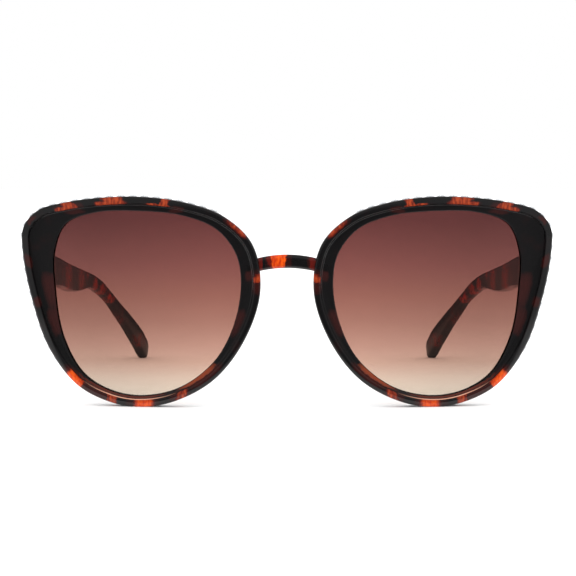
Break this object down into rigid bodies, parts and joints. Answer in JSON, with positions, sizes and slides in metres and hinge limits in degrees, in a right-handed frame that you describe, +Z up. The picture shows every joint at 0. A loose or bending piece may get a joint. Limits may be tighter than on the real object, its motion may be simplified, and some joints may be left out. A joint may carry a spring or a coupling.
{
  "type": "cat eye sunglasses",
  "caption": "Oversized cat eye sunglasses: tortoiseshell plastic front with stones set in the outer edges, brown gradient lenses and folding temples.",
  "frame": {"origin": "middle of the whole object's footprint, on the surface it stands on with the temples open", "axes": "+X towards the wearer's left and the widest way across, +Y from the front back to the ears, +Z up"},
  "size_m": [0.1464, 0.137, 0.0575],
  "materials": {
    "front": "polished tortoiseshell acetate: near black with dark red clouds and orange patches",
    "temple": "polished tortoiseshell acetate: near black with red streaks near the hinge",
    "nose_pad": "polished tortoiseshell acetate, glued on",
    "lens": "polished plastic lens with a brown gradient tint, darker at the top",
    "setting": "bright metal rail set with small clear cut stones",
    "hinge": "nickel silver, satin",
    "screw": "stainless steel, satin",
    "core_wire": "nickel silver wire"
  },
  "bodies": {
    "front": {"frame_front": "front", "lens_left": "lens", "lens_right": "lens", "nose_pad_left": "nose_pad", "nose_pad_right": "nose_pad", "stone_strip_left": "setting", "stone_strip_right": "setting", "hinge_front_leaf_left": "hinge", "hinge_front_leaf_right": "hinge", "hinge_screw_left": "screw", "hinge_screw_right": "screw"},
    "temple_arm_left": {"temple_left": "temple", "hinge_temple_leaf_left": "hinge", "temple_core_wire_left": "core_wire"},
    "temple_arm_right": {"temple_right": "temple", "hinge_temple_leaf_right": "hinge", "temple_core_wire_right": "core_wire"}
  },
  "joints": [
    {"name": "hinge_left", "type": "hinge", "parent": "front", "child": "temple_arm_left", "pos_m": [0.0658, -0.05163, 0.03628], "axis": [0, 0, 1], "range_deg": [0, 84]},
    {"name": "hinge_right", "type": "hinge", "parent": "front", "child": "temple_arm_right", "pos_m": [-0.0658, -0.05163, 0.03628], "axis": [0, 0, -1], "range_deg": [0, 77]}
  ]
}
